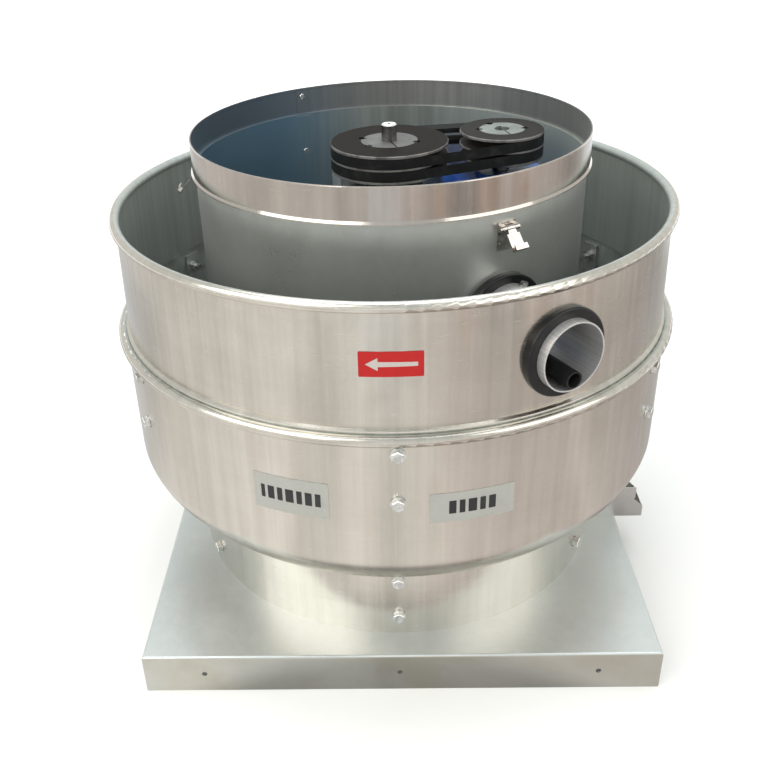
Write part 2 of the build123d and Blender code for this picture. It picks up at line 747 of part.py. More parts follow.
def pulley(pitch_r, bush_r, bush_length):
    """Two-groove V pulley with a tapered bore, standing on z = 0."""
    outer_r, width = pitch_r + GROOVE_ABOVE, GROOVE_PITCH + 2 * GROOVE_EDGE
    root_r = pitch_r - GROOVE_BELOW
    taper = BUSH_TAPER * bush_length / FAN_BUSH_LENGTH
    low_z = width - bush_length
    points = [(bush_r - taper, 0), (outer_r - 1, 0), (outer_r, 1)]
    for i in range(2):
        z = GROOVE_EDGE + i * GROOVE_PITCH
        top, root = groove_half(outer_r, pitch_r), groove_half(root_r, pitch_r)
        points += [(outer_r, z - top), (root_r, z - root), (root_r, z + root), (outer_r, z + top)]
    points += [(outer_r, width - 1), (outer_r - 1, width), (bush_r, width)]
    points += [(bush_r - taper, low_z)] if low_z > 0 else []
    body = turned(outline(points))
    if bush_r > 30:
        body -= ring(bush_r + 6, pitch_r - 14, -1, 6)
    return body


def bush(bush_r, bush_length, hole_angles):
    """Split tapered bush whose top face is at z = 0, with half holes on its rim."""
    taper = BUSH_TAPER * bush_length / FAN_BUSH_LENGTH
    clear = 0.05
    body = turned(outline([
        (SHAFT_R + SHAFT_FIT, -bush_length), (bush_r - taper - clear, -bush_length),
        (bush_r - clear, 0), (SHAFT_R + SHAFT_FIT, 0)]))
    body -= block(-3, 3, 0, SHAFT_R + 2.8, -bush_length - 1, 1)
    body -= block(-1, 1, -bush_r - 2, 0, -bush_length - 1, 1)
    for hole in bush_holes(bush_r, hole_angles):
        body -= hole
    return body


def bush_holes(bush_r, hole_angles):
    """Half-in, half-out holes at the joint between bush and pulley."""
    return [
        rod(BUSH_SCREW_R, -18, 1, bush_r * cos(radians(a)), bush_r * sin(radians(a)))
        for a in hole_angles
    ]


def bush_screws(bush_r, hole_angles):
    """Grub screws with hexagon sockets in two of the bush's rim holes, the first and the last."""
    screw = rod(BUSH_SCREW_R - 0.1, -17, -4) - Pos(0, 0, -10) * hexagon(4, 10)
    return [
        Pos(bush_r * cos(radians(a)), bush_r * sin(radians(a)), 0) * screw
        for a in (hole_angles[0], hole_angles[-1])
    ]


def belt(groove_z):
    """Closed V-belt around both pulleys, its section a trapezoid, in the drive's own frame."""
    lean = acos((FAN_PITCH_R - MOTOR_PITCH_R) / MOTOR_X)
    tops = (FAN_PITCH_R + GROOVE_ABOVE, MOTOR_PITCH_R + GROOVE_ABOVE)
    cx, sy = cos(lean), sin(lean)
    big, small = tops
    path = Wire([
        ThreePointArc((big * cx, big * sy), (-big, 0), (big * cx, -big * sy)),
        Line((big * cx, -big * sy), (MOTOR_X + small * cx, -small * sy)),
        ThreePointArc((MOTOR_X + small * cx, -small * sy), (MOTOR_X + small, 0),
                      (MOTOR_X + small * cx, small * sy)),
        Line((MOTOR_X + small * cx, small * sy), (big * cx, big * sy)),
    ])
    top = groove_half(big, FAN_PITCH_R) - BELT_GAP / cos(radians(GROOVE_HALF_ANGLE))
    low = top - tan(radians(GROOVE_HALF_ANGLE)) * BELT_DEPTH
    section = make_face(Polyline(
        (-big, 0, -top), (-big, 0, top), (-big + BELT_DEPTH, 0, low), (-big + BELT_DEPTH, 0, -low),
        close=True).edges())
    return in_drive(Pos(0, 0, groove_z) * sweep(section, path=path, transition=Transition.RIGHT))


# ---------------------------------------------------------------- fan shaft and wheel


def fan_shaft():
    shaft = rod(SHAFT_R, SHAFT_LOW, SHAFT_TOP)
    shaft = chamfer(shaft.faces().sort_by(Axis.Z)[-1].edges(), 1.2)
    shaft -= rod(BOLT_R + 0.05, SHAFT_LOW - 1, SHAFT_LOW + 24)
    return shaft - rod(2, SHAFT_TOP - 4, SHAFT_TOP + 1)


def wheel_hub():
    hub = ring(SHAFT_R + SHAFT_FIT, 22, BACKPLATE_Z + WHEEL_SHEET, 279)
    hub += ring(20, 44, BACKPLATE_Z + WHEEL_SHEET, BACKPLATE_Z + WHEEL_SHEET + 6)
    for i in range(6):
        hub -= Rot(0, 0, 60 * i) * rod(3.2, BACKPLATE_Z, 260, 33)
    return hub


def hub_bolts():
    """Six bolts up through the backplate, and the bolt that draws the hub on to the shaft."""
    bolts = []
    for i in range(6):
        body = Pos(0, 0, BACKPLATE_Z - 4) * hexagon(10, 4)
        body += rod(3, BACKPLATE_Z - 1, BACKPLATE_Z + WHEEL_SHEET + 12)
        bolts.append(Rot(0, 0, 60 * i) * Pos(33, 0, 0) * body)
    centre = rod(18, SHAFT_LOW - 3, SHAFT_LOW) + rod(BOLT_R, SHAFT_LOW - 1, SHAFT_LOW + 20)
    centre += Pos(0, 0, SHAFT_LOW - 3 - HEX_HEIGHT) * hexagon(HEX_FLATS, HEX_HEIGHT)
    return bolts + [centre]


def wheel_backplate():
    plate = ring(SHAFT_R + 0.5, WHEEL_R, BACKPLATE_Z, BACKPLATE_Z + WHEEL_SHEET)
    for i in range(6):
        plate -= Rot(0, 0, 60 * i) * rod(3.2, BACKPLATE_Z - 1, BACKPLATE_Z + 5, 33)
    return plate


def shroud_curve(offset):
    """The shroud's line from its inlet lip to its outer edge, moved into the air path."""
    return Spline(
        [(WHEEL_INLET_R - offset, 0, SHROUD_LOW), (WHEEL_R, 0, SHROUD_EDGE_Z + offset)],
        tangents=[(0, 0, 1), (1, 0, 0.12)],
    )


def wheel_shroud():
    """Front plate of the wheel, pressed in equal segments that meet edge to edge."""
    high, low = shroud_curve(0), shroud_curve(-WHEEL_SHEET)
    face = make_face(Wire([
        low, high, Line(low @ 0, high @ 0), Line(low @ 1, high @ 1)]).edges())
    step = 360 / SHROUD_SEGMENTS
    segment = revolve(face, Axis.Z, step - SHROUD_JOINT)
    return [Rot(0, 0, step * i) * segment for i in range(SHROUD_SEGMENTS)]


def wheel_blades():
    """Backward-leaning flat blades between shroud and backplate."""
    space = turned(make_face(Wire([
        shroud_curve(0.02),
        Line((WHEEL_R, 0, SHROUD_EDGE_Z + 0.02), (WHEEL_R, 0, BACKPLATE_Z)),
        Line((WHEEL_R, 0, BACKPLATE_Z), (100, 0, BACKPLATE_Z)),
        Line((100, 0, BACKPLATE_Z), (100, 0, SHROUD_LOW)),
        Line((100, 0, SHROUD_LOW), (WHEEL_INLET_R - 0.02, 0, SHROUD_LOW)),
    ]).edges()))
    cleared = space - ring(50, THROAT_R + CONE_SHEET + 4, SHROUD_LOW - 5, THROAT_Z + 6)
    blades = []
    for i in range(BLADE_COUNT):
        blank = block(0, 120, -WHEEL_SHEET / 2, WHEEL_SHEET / 2, SHROUD_LOW, BACKPLATE_Z)
        blade = Pos(BLADE_INNER_R, 0, 0) * Rot(0, 0, BLADE_LEAN) * blank
        blades.append(Rot(0, 0, 360 / BLADE_COUNT * i) * (blade & cleared))
    return blades


# ---------------------------------------------------------------- motor


def at_motor(shape):
    return in_drive(Pos(MOTOR_X, 0, 0) * shape)


def motor_body():
    """Finned stator frame, with gaps in the fins where the feet seat."""
    body = rod(MOTOR_R, STATOR_LOW, STATOR_TOP) - rod(SHAFT_R + 1.5, SHAFT_SOCKET, STATOR_TOP)
    low, high = FOOT_SPAN
    for i in range(FIN_COUNT):
        fin = block(MOTOR_R - 3, FIN_R, -1.2, 1.2, STATOR_LOW + 3, STATOR_TOP - 3)
        body += Rot(0, 0, 360 / FIN_COUNT * (i + 0.5)) * fin
    seat = ring(MOTOR_R, FIN_R + 1, low - 0.2, high + 0.2)
    for side in (-1, 1):
        x0, x1 = sorted((side * (FOOT_INNER - 4.2), side * (FOOT_INNER + 6.2)))
        body -= seat & block(x0, x1, 30, FIN_R + 1, low - 1, high + 1)
    return at_motor(body)


def motor_feet():
    """Two cast feet: a web that seats on the stator and a slotted flange against the plate."""
    face = FRAME_FRONT - FOOT_GAP
    low, high = FOOT_SPAN
    feet = []
    for side in (-1, 1):
        x0, x1 = sorted((side * FOOT_INNER, side * FOOT_OUTER))
        foot = block(x0, x1, face - FOOT_THICKNESS, face, low, high)
        x0, x1 = sorted((side * (FOOT_INNER - 4), side * (FOOT_INNER + 6)))
        foot += block(x0, x1, 30, face - 1, low, high)
        foot -= rod(MOTOR_R + 0.05, low - 1, high + 1)
        foot -= ring(MOTOR_R, FIN_R + 1, low - 1, high + 1) - block(x0, x1, 30, 90, low - 2, high + 2)
        for z in FOOT_HOLE_Z:
            foot -= bar_y(BOLT_HOLE_R, 60, 90, side * FOOT_HOLE_X, z)
        if side < 0:
            for z in TENSION_ROD_Z:
                foot -= bar_x(TENSION_ROD_R + 0.05, x0 - 40, 6 - FOOT_OUTER, tension_y(), z)
        feet.append(at_motor(foot))
    return feet


def motor_end_bell():
    """Domed drive-end shield with a raised bearing boss and four lugs."""
    profile = [
        (SHAFT_R + 1.5, STATOR_TOP), (FIN_R + 1, STATOR_TOP), (FIN_R + 2, STATOR_TOP + 8),
        (FIN_R - 2, MOTOR_TOP - 12), (FIN_R - 16, MOTOR_TOP - 4), (34, MOTOR_TOP - 4),
        (31, MOTOR_TOP), (SHAFT_R + 1.5, MOTOR_TOP),
    ]
    return at_motor(turned(outline(profile)))


def motor_fan_cowl():
    """Pressed cowl over the cooling fan, open above and slotted below."""
    skin, r = 1.5, FIN_R
    profile = [
        (12, MOTOR_LOW), (r - 8, MOTOR_LOW), (r, MOTOR_LOW + 8), (r, STATOR_LOW + 2),
        (r - skin, STATOR_LOW + 2), (r - skin, MOTOR_LOW + 8.6), (r - 8.6, MOTOR_LOW + skin),
        (12, MOTOR_LOW + skin),
    ]
    cowl = turned(outline(profile))
    for i in range(12):
        slot = block(24, 62, -4, 4, MOTOR_LOW - 1, MOTOR_LOW + 3)
        cowl -= Rot(0, 0, 30 * i) * slot
    cowl -= ring(MOTOR_R - 2, FIN_R - skin + 0.05, STATOR_LOW, STATOR_LOW + 5)
    cowl -= turned(outline([(r - skin - 0.5, STATOR_LOW), (r + 3, STATOR_LOW),
                            (r + 3, STATOR_LOW + 5), (r - skin - 0.5, STATOR_LOW + 5)]))
    return at_motor(cowl)


def terminal_box():
    body = block(-38, 38, -112, -FIN_R - 0.5, 400, 476)
    body = fillet(body.edges().filter_by(Axis.Y), 6)
    body += block(-34, 34, -115, -111, 404, 472)
    body += bar_x(9, 37, 50, -94, 438)
    return at_motor(body)


def motor_foot_bolts():
    bolts = []
    back = FRAME_FRONT + FRAME_SHEET + FOOT_GAP
    seat = FRAME_FRONT - FOOT_GAP - FOOT_THICKNESS
    for x in (-FOOT_HOLE_X, FOOT_HOLE_X):
        for z in FOOT_HOLE_Z:
            bolt = Pos(x, seat, z) * Rot(90, 0, 0) * hexagon(HEX_FLATS, HEX_HEIGHT)
            bolt += bar_y(BOLT_R, seat - 1, back + 9, x, z)
            bolt += Pos(x, back + NUT_HEIGHT, z) * Rot(90, 0, 0) * hexagon(HEX_FLATS, NUT_HEIGHT)
            bolts.append(at_motor(bolt))
    return bolts


def tension_rods():
    """Threaded rods from the motor foot through the riser."""
    end = -FOOT_OUTER + 5
    bar = bar_x(TENSION_ROD_R, end - 48, end, tension_y(), 0)
    return [at_motor(Pos(0, 0, z) * bar) for z in TENSION_ROD_Z]


def motor_shaft():
    shaft = rod(SHAFT_R, SHAFT_SOCKET + 1, MOTOR_SHAFT_TOP)
    return at_motor(chamfer(shaft.faces().sort_by(Axis.Z)[-1].edges(), 1))


def main():
    os.makedirs("parts", exist_ok=True)

    save("curb_cap", curb_cap())
    save("inlet_cone", inlet_cone())
    save("lower_windband", lower_windband())
    save("upper_windband", upper_windband())
    for number, azimuth in enumerate(STRUT_AZIMUTHS, 1):
        save(f"strut_{number}", at_azimuth(azimuth, strut()))
    save("windband_bolts", windband_bolts())
    save("strut_nuts", strut_nuts())
    save("drain_spout", drain_spout())
    save("sheet_rivets", sheet_rivets())

    save("motor_drum", motor_drum())
    save("drum_floor", drum_floor())
    save("drum_collar", drum_collar())
    save("breather_tube", breather_tube())
    save("tube_screw", tube_screw())
    drum_wall = ring(DRUM_R - DRUM_SHEET - 0.05, DRUM_R + 0.05, TUBE_Z - 60, TUBE_Z + 60)
    save("outer_grommet", grommet(ring_sheet(0.05), *OUTER_GROMMET))
    save("inner_grommet", grommet(drum_wall, *INNER_GROMMET))
    save("wiring_conduit", wiring_conduit())
    save("latch_bases", [at_azimuth(a, latch_base()) for a in LATCH_AZIMUTHS])
    save("latch_pins", [at_azimuth(a, latch_pin()) for a in LATCH_AZIMUTHS])
    for number, azimuth in enumerate(LATCH_AZIMUTHS, 1):
        save(f"latch_lever_{number}", at_azimuth(azimuth, latch_lever()))

    save("drive_frame", drive_frame())
    save("vibration_isolators", vibration_isolators())
    save("bearing_riser", bearing_riser())
    save("lower_bearing_housing", bearing_housing(BEARING_Z[0]))
    save("upper_bearing_housing", bearing_housing(BEARING_Z[1]))
    save("bearing_outer_rings", bearing_outer_rings())
    save("bearing_inner_rings", bearing_inner_rings())
    save("bearing_bolts", bearing_bolts())
    save("tension_nuts", tension_nuts())

    first_groove = PULLEY_LOW + GROOVE_EDGE
    save("v_belt_lower", belt(first_groove))
    save("v_belt_upper", belt(first_groove + GROOVE_PITCH))
    pulley_top = PULLEY_LOW + GROOVE_PITCH + 2 * GROOVE_EDGE
    drives = (
        ("fan", FAN_PITCH_R, FAN_BUSH_R, FAN_BUSH_LENGTH, FAN_BUSH_HOLES, 0),
        ("motor", MOTOR_PITCH_R, MOTOR_BUSH_R, MOTOR_BUSH_LENGTH, MOTOR_BUSH_HOLES, MOTOR_X),
    )
    for name, pitch_r, bush_r, length, hole_angles, x in drives:
        wheel = Pos(0, 0, PULLEY_LOW) * pulley(pitch_r, bush_r, length)
        for hole in bush_holes(bush_r, hole_angles):
            wheel -= Pos(0, 0, pulley_top) * hole
        top = Pos(x, 0, pulley_top)
        screws = bush_screws(bush_r, hole_angles)
        save(f"{name}_pulley", in_drive(Pos(x, 0, 0) * wheel))
        save(f"{name}_bush", in_drive(top * bush(bush_r, length, hole_angles)))
        save(f"{name}_bush_screws", [in_drive(top * screw) for screw in screws])

    save("fan_shaft", fan_shaft())
    save("wheel_hub", wheel_hub())
    save("hub_bolts", hub_bolts())
    save("wheel_backplate", wheel_backplate())
    save("wheel_shroud", wheel_shroud())
    save("wheel_blades", wheel_blades())

    save("motor_body", motor_body())
    save("motor_feet", motor_feet())
    save("motor_end_bell", motor_end_bell())
    save("motor_fan_cowl", motor_fan_cowl())
    save("terminal_box", terminal_box())
    save("motor_foot_bolts", motor_foot_bolts())
    save("tension_rods", tension_rods())
    save("motor_shaft", motor_shaft())


main()
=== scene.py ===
from math import cos, pi, radians, sin

import bmesh
import bpy
from mathutils import Matrix, Vector


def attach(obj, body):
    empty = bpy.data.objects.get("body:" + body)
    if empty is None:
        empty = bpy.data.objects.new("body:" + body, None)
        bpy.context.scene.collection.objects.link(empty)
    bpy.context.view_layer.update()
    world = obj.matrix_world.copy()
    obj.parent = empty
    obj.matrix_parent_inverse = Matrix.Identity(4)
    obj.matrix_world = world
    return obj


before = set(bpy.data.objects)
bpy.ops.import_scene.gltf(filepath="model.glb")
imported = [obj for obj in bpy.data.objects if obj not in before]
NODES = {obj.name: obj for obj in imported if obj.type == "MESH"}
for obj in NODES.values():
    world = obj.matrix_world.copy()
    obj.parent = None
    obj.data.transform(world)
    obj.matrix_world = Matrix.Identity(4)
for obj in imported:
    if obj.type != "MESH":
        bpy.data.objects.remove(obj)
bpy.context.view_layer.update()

# Azimuths are in degrees, from the front (-Y) towards the right (+X).
DRIVE_ANGLE = radians(14.5)
MOTOR_DISTANCE = 0.1473
TUBE_AZIMUTH = 30
TUBE_HEIGHT = 0.463
BOWL_R = 0.3515
RING_LOW_R, RING_LOW_Z = 0.346, 0.4022
RING_TOP_R, RING_TOP_Z = 0.343, 0.538
SEAM_AZIMUTH = -150

# Labels: thickness of each film and of the ink, and the gap under each of them
FILM = 0.00014
FLAG_FILM = 0.00016
FILM_GAP = 0.00008
INK = 0.00006
INK_GAP = 0.00002
FLAG_R = 0.3445
BAR_UNIT = 0.0016
BAR_GAP = 0.0035
BAR_HALF_HEIGHT = 0.0085
WRAP_STEP = 0.003

# Camera and stage
YAW, PITCH, ROLL = radians(2.558), radians(-29.694), radians(-2.439)
CAMERA_PLACE = (-0.0117, -1.1679, 0.9254)
LENS = 43.84
SHIFT_X = 0.0547
FLOOR_Z = -0.0005
CARD_Z = -0.0002
CARD_R = 3.0
LIGHT_AIM = (0, 0, 0.3)


def around(azimuth, radius, z):
    """Point at an azimuth in degrees, from the front (-Y) towards the right (+X)."""
    a = radians(azimuth)
    return Vector((radius * sin(a), -radius * cos(a), z))


# ---------------------------------------------------------------- node graphs


class Finish:
    """A procedural material: one Principled shader and the nodes that drive it."""

    def __init__(self, name, color, metallic, roughness, **sockets):
        self.material = bpy.data.materials.new(name)
        self.material.use_nodes = True
        self.tree = self.material.node_tree
        self.shader = self.tree.nodes["Principled BSDF"]
        self.put("Base Color", (*color, 1))
        self.put("Metallic", metallic)
        self.put("Roughness", roughness)
        for socket, value in sockets.items():
            self.put(socket.replace("_", " "), value)
        self.place = self.add("ShaderNodeTexCoord").outputs["Object"]

    def add(self, kind, **settings):
        node = self.tree.nodes.new(kind)
        for key, value in settings.items():
            setattr(node, key, value)
        return node

    def join(self, value, socket):
        if isinstance(value, bpy.types.NodeSocket):
            self.tree.links.new(value, socket)
        else:
            socket.default_value = value

    def put(self, socket, value):
        self.join(value, self.shader.inputs[socket])

    def math(self, operation, a, b=0.0, clamp=False):
        node = self.add("ShaderNodeMath", operation=operation, use_clamp=clamp)
        self.join(a, node.inputs[0])
        self.join(b, node.inputs[1])
        return node.outputs[0]

    def vector(self, operation, a, b):
        node = self.add("ShaderNodeVectorMath", operation=operation)
        self.join(a, node.inputs[0])
        self.join(b, node.inputs[1])
        return node.outputs[0]

    def combine(self, x, y, z):
        node = self.add("ShaderNodeCombineXYZ")
        for value, socket in zip((x, y, z), node.inputs):
            self.join(value, socket)
        return node.outputs[0]

    def split(self, vector):
        node = self.add("ShaderNodeSeparateXYZ")
        self.join(vector, node.inputs[0])
        return node.outputs

    def span(self, value, low, high, to_low=0.0, to_high=1.0):
        node = self.add("ShaderNodeMapRange", interpolation_type="SMOOTHSTEP")
        self.join(value, node.inputs["Value"])
        for name, number in (("From Min", low), ("From Max", high),
                             ("To Min", to_low), ("To Max", to_high)):
            node.inputs[name].default_value = number
        return node.outputs["Result"]

    def mix(self, share, a, b):
        node = self.add("ShaderNodeMix", data_type="RGBA")
        self.join(share, node.inputs["Factor"])
        for value, socket in ((a, node.inputs["A"]), (b, node.inputs["B"])):
            self.join(value if isinstance(value, bpy.types.NodeSocket) else (*value, 1), socket)
        return node.outputs["Result"]

    def noise(self, vector, scale, detail=3, rough=0.55, distortion=0.0):
        node = self.add("ShaderNodeTexNoise")
        self.join(vector, node.inputs["Vector"])
        node.inputs["Scale"].default_value = scale
        node.inputs["Detail"].default_value = detail
        node.inputs["Roughness"].default_value = rough
        node.inputs["Distortion"].default_value = distortion
        return node.outputs["Fac"]

    def cells(self, vector, scale, feature="F1", output="Color"):
        node = self.add("ShaderNodeTexVoronoi", feature=feature)
        self.join(vector, node.inputs["Vector"])
        node.inputs["Scale"].default_value = scale
        return node.outputs[output]

    def bump(self, height, strength, distance, under=None):
        node = self.add("ShaderNodeBump")
        self.join(height, node.inputs["Height"])
        node.inputs["Strength"].default_value = strength
        node.inputs["Distance"].default_value = distance
        if under is not None:
            self.join(under, node.inputs["Normal"])
        return node.outputs[0]

    def local(self, centre=(0, 0, 0), turn=0.0, tip=False):
        """Coordinates about a centre, turned by an angle about Z; tip lays local X along Z."""
        place = self.vector("SUBTRACT", self.place, centre)
        node = self.add("ShaderNodeVectorRotate", rotation_type="Z_AXIS")
        self.join(place, node.inputs["Vector"])
        node.inputs["Angle"].default_value = -turn
        x, y, z = self.split(node.outputs[0])
        return (y, z, x) if tip else (x, y, z)

    def distance(self, x, y):
        """Distance from the local Z axis."""
        squares = self.math("ADD", self.math("MULTIPLY", x, x), self.math("MULTIPLY", y, y))
        return self.math("SQRT", squares)

    def turned(self, axes):
        """Coordinates for turned metal: x, y, a length along the profile, angle and radius."""
        x, y, z = axes
        radius = self.distance(x, y)
        return x, y, self.math("ADD", radius, z), self.math("ARCTAN2", y, x), radius

    def inward(self):
        """1 on faces that look towards the Z axis, 0 on those that look away from it."""
        normal = self.split(self.add("ShaderNodeNewGeometry").outputs["Normal"])
        place = self.split(self.place)
        outward = self.math("ADD", self.math("MULTIPLY", normal[0], place[0]),
                            self.math("MULTIPLY", normal[1], place[1]))
        return self.span(outward, 0.02, -0.02)

    def motor_reflection_side(self):
        """1 on the left of the drum and collar, where their insides get a painted reflection of the
        motor.
        """
        x, y, _ = self.split(self.place)
        return self.span(self.math("SUBTRACT", x, self.math("MULTIPLY", y, 0.25)), -0.06, -0.21)

    def anisotropic(self, amount):
        """Stretched highlights, for metal turned or rolled around the Z axis."""
        tangent = self.add("ShaderNodeTangent", direction_type="RADIAL", axis="Z")
        self.put("Anisotropic", amount)
        self.put("Anisotropic Rotation", 0.25)
        self.put("Tangent", tangent.outputs[0])


def scaled(finish, x, y, z, sx, sy, sz):
    """Vector of three coordinates, each with its own scale."""
    return finish.combine(finish.math("MULTIPLY", x, sx), finish.math("MULTIPLY", y, sy),
                          finish.math("MULTIPLY", z, sz))


def toned(color, level):
    """Color made darker or lighter by a level."""
    return tuple(c * level for c in color)


def tinted(color, tint):
    """Color multiplied by a tint."""
    return tuple(c * k for c, k in zip(color, tint))


def spun(name, color, shade, rough, streaks=1.0, lines=1.0, aniso=0.75,
         axes=None, pitch=1400.0, inside=None, painted_motor_reflection=False, metallic=1.0):
    """Spun or rolled bright sheet: fine lines around the axis, wiped streaks and smudges.

    inside gives the tint and extra roughness of the faces that look towards the axis, a darker
    tint that is painted shade; the flag after it adds a painted reflection of the motor, a darker,
    cooler tint, on the left of those faces.
    """
    f = Finish(name, color, metallic, rough)
    x, y, along, angle, _ = f.turned(f.local() if axes is None else axes(f))
    lathe = f.noise(scaled(f, x, y, along, 5, 5, pitch), 1.0, 2, 0.6)
    coarse = f.noise(scaled(f, x, y, along, 3, 3, pitch * 0.12), 1.0, 3, 0.6)
    wiped = f.noise(f.combine(f.math("MULTIPLY", angle, 26), f.math("MULTIPLY", along, 2.2), 0.0),
                    1.0, 4, 0.6, 0.15)
    smudge = f.noise(f.place, 7.5, 5, 0.62, 0.4)
    fine = f.noise(f.place, 60, 4, 0.65)
    scratch = f.noise(scaled(f, x, y, along, 34, 34, 700), 1.0, 1, 0.4, 1.2)
    scratch = f.span(scratch, 0.70, 0.78)
    tone = f.math("ADD", f.math("MULTIPLY", smudge, 1.0 - 0.5 * streaks),
                  f.math("MULTIPLY", wiped, 0.5 * streaks))
    tone = f.math("ADD", tone, f.math("MULTIPLY", f.math("SUBTRACT", coarse, 0.5), 0.08 * lines))
    tint = f.mix(f.span(tone, 0.32, 0.72), shade, color)
    change = f.math("ADD", f.math("MULTIPLY", f.math("SUBTRACT", smudge, 0.5), 0.14),
                    f.math("MULTIPLY", f.math("SUBTRACT", fine, 0.5), 0.07))
    change = f.math("ADD", change, f.math("MULTIPLY", f.math("SUBTRACT", wiped, 0.5), 0.12))
    change = f.math("ADD", change, f.math("MULTIPLY", f.math("SUBTRACT", lathe, 0.5), 0.12 * lines))
    change = f.math("ADD", change, f.math("MULTIPLY", scratch, 0.12))
    if inside:
        inner, dulled = inside
        inward = f.inward()
        # Inward faces get a darker tint, a painted shade, streaked by the wiped marks; with the flag,
        # their left also gets a painted reflection of the motor.
        worn = f.mix(f.span(wiped, 0.3, 0.7), toned(inner, 0.84), inner)
        if painted_motor_reflection:
            worn = f.mix(f.motor_reflection_side(), worn, tinted(inner, (0.40, 0.52, 0.66)))
        tint = f.mix(inward, tint, worn)
        change = f.math("ADD", change, f.math("MULTIPLY", inward, dulled))
        f.put("Metallic", f.math("SUBTRACT", 1.0, f.math("MULTIPLY", inward, 0.3)))
    f.put("Base Color", tint)
    f.put("Roughness", f.math("ADD", change, rough, clamp=True))
    soft = f.bump(f.math("ADD", f.math("MULTIPLY", smudge, 0.4), f.math("MULTIPLY", wiped, 0.6)),
                  0.10, 0.0014)
    grain = f.bump(f.math("ADD", lathe, f.math("MULTIPLY", coarse, 1.4)), 0.16 * lines, 0.00012, soft)
    f.put("Normal", grain)
    f.anisotropic(aniso)
    return f


def galvanised(name, light, dark, rough, spangle=90.0, contrast=0.10, metallic=0.8, inside=None,
               grime_and_shade=None):
    """Zinc-coated sheet: faint crystal spangle, handling marks and dull patches.

    inside gives the tint of the faces that look towards the axis, a painted shade, with painted
    light on the right and a painted reflection of the motor on the left; the last argument gives
    a darker, mottled painted shade on upright faces.
    """
    f = Finish(name, light, metallic, rough)
    warp = f.noise(f.place, 18, 3)
    place = f.vector("ADD", f.place, f.vector("MULTIPLY", f.combine(warp, warp, warp),
                                              (0.02, 0.02, 0.02)))
    crystal = f.split(f.cells(place, spangle))[0]
    grain = f.noise(f.place, 140, 4, 0.7)
    cloud = f.noise(f.place, 5.5, 5, 0.6, 0.3)
    tone = f.math("ADD", f.math("MULTIPLY", crystal, contrast * 0.6),
                  f.math("MULTIPLY", cloud, 1.0 - contrast * 0.6))
    tone = f.math("ADD", tone, f.math("MULTIPLY", f.math("SUBTRACT", grain, 0.5), 0.18))
    tint = f.mix(f.span(tone, 0.25, 0.75), dark, light)
    if inside:
        x, _, along, angle, _ = f.turned(f.local())
        wiped = f.noise(f.combine(f.math("MULTIPLY", angle, 14), f.math("MULTIPLY", along, 2), 0.0),
                        1.0, 3, 0.6)
        # Inward faces: a painted shade streaked by the wiped marks, painted light on the right, and a
        # painted reflection of the motor on the left.
        shade = f.mix(f.span(wiped, 0.3, 0.7), toned(inside, 0.72), inside)
        shade = f.mix(f.span(x, 0.04, 0.20), shade, toned(inside, 1.5))
        motor_reflection_tint = tinted(inside, (0.36, 0.58, 0.86))
        tint = f.mix(f.inward(), tint, f.mix(f.motor_reflection_side(), shade, motor_reflection_tint))
    if grime_and_shade:
        # Upright faces get a darker, warmer tint, a painted shade mottled by the cloud noise.
        normal = f.split(f.add("ShaderNodeNewGeometry").outputs["Normal"])[2]
        upright = f.span(f.math("ABSOLUTE", normal), 0.6, 0.3)
        tint = f.mix(f.math("MULTIPLY", upright, f.span(cloud, 0.35, 0.6, 0.55, 1.0)), tint, grime_and_shade)
    f.put("Base Color", tint)
    change = f.math("ADD", f.math("MULTIPLY", f.math("SUBTRACT", crystal, 0.5), 0.2 * contrast),
                    f.math("MULTIPLY", f.math("SUBTRACT", cloud, 0.5), 0.22))
    f.put("Roughness", f.math("ADD", change, rough, clamp=True))
    edge = f.cells(place, spangle, "DISTANCE_TO_EDGE", "Distance")
    low = f.bump(cloud, 0.12, 0.002)
    f.put("Normal", f.bump(f.math("ADD", f.math("MULTIPLY", f.span(edge, 0.0, 0.06), contrast), grain),
                           0.10, 0.0002, low))
    return f


def plated(name, color, shade, rough):
    """Bright plated or machined small parts, with a mottled film and worn patches."""
    f = Finish(name, color, 1.0, rough)
    film = f.noise(f.place, 160, 4, 0.65, 0.3)
    wear = f.noise(f.place, 900, 3, 0.6)
    f.put("Base Color", f.mix(f.span(film, 0.35, 0.68), shade, color))
    f.put("Roughness", f.math("ADD", f.math("MULTIPLY", f.math("SUBTRACT", film, 0.5), 0.3),
                              f.math("ADD", rough, f.math("MULTIPLY", wear, 0.08)), clamp=True))
    f.put("Normal", f.bump(wear, 0.18, 0.0001, f.bump(film, 0.1, 0.0004)))
    return f


def rubber(name, color, rough, grain, coat=0.0):
    """Black moulded rubber with dust and a fine skin."""
    f = Finish(name, color, 0.0, rough, Specular_IOR_Level=0.25, Coat_Weight=coat,
               Coat_Roughness=0.12)
    dust = f.noise(f.place, 45, 4, 0.6)
    skin = f.noise(f.place, grain, 3, 0.6)
    f.put("Base Color", f.mix(f.span(dust, 0.45, 0.85), color, tuple(c * 2.0 + 0.003 for c in color)))
    f.put("Roughness", f.math("ADD", f.math("MULTIPLY", dust, 0.22), rough - 0.1, clamp=True))
    f.put("Normal", f.bump(skin, 0.2, 0.0002))
    return f


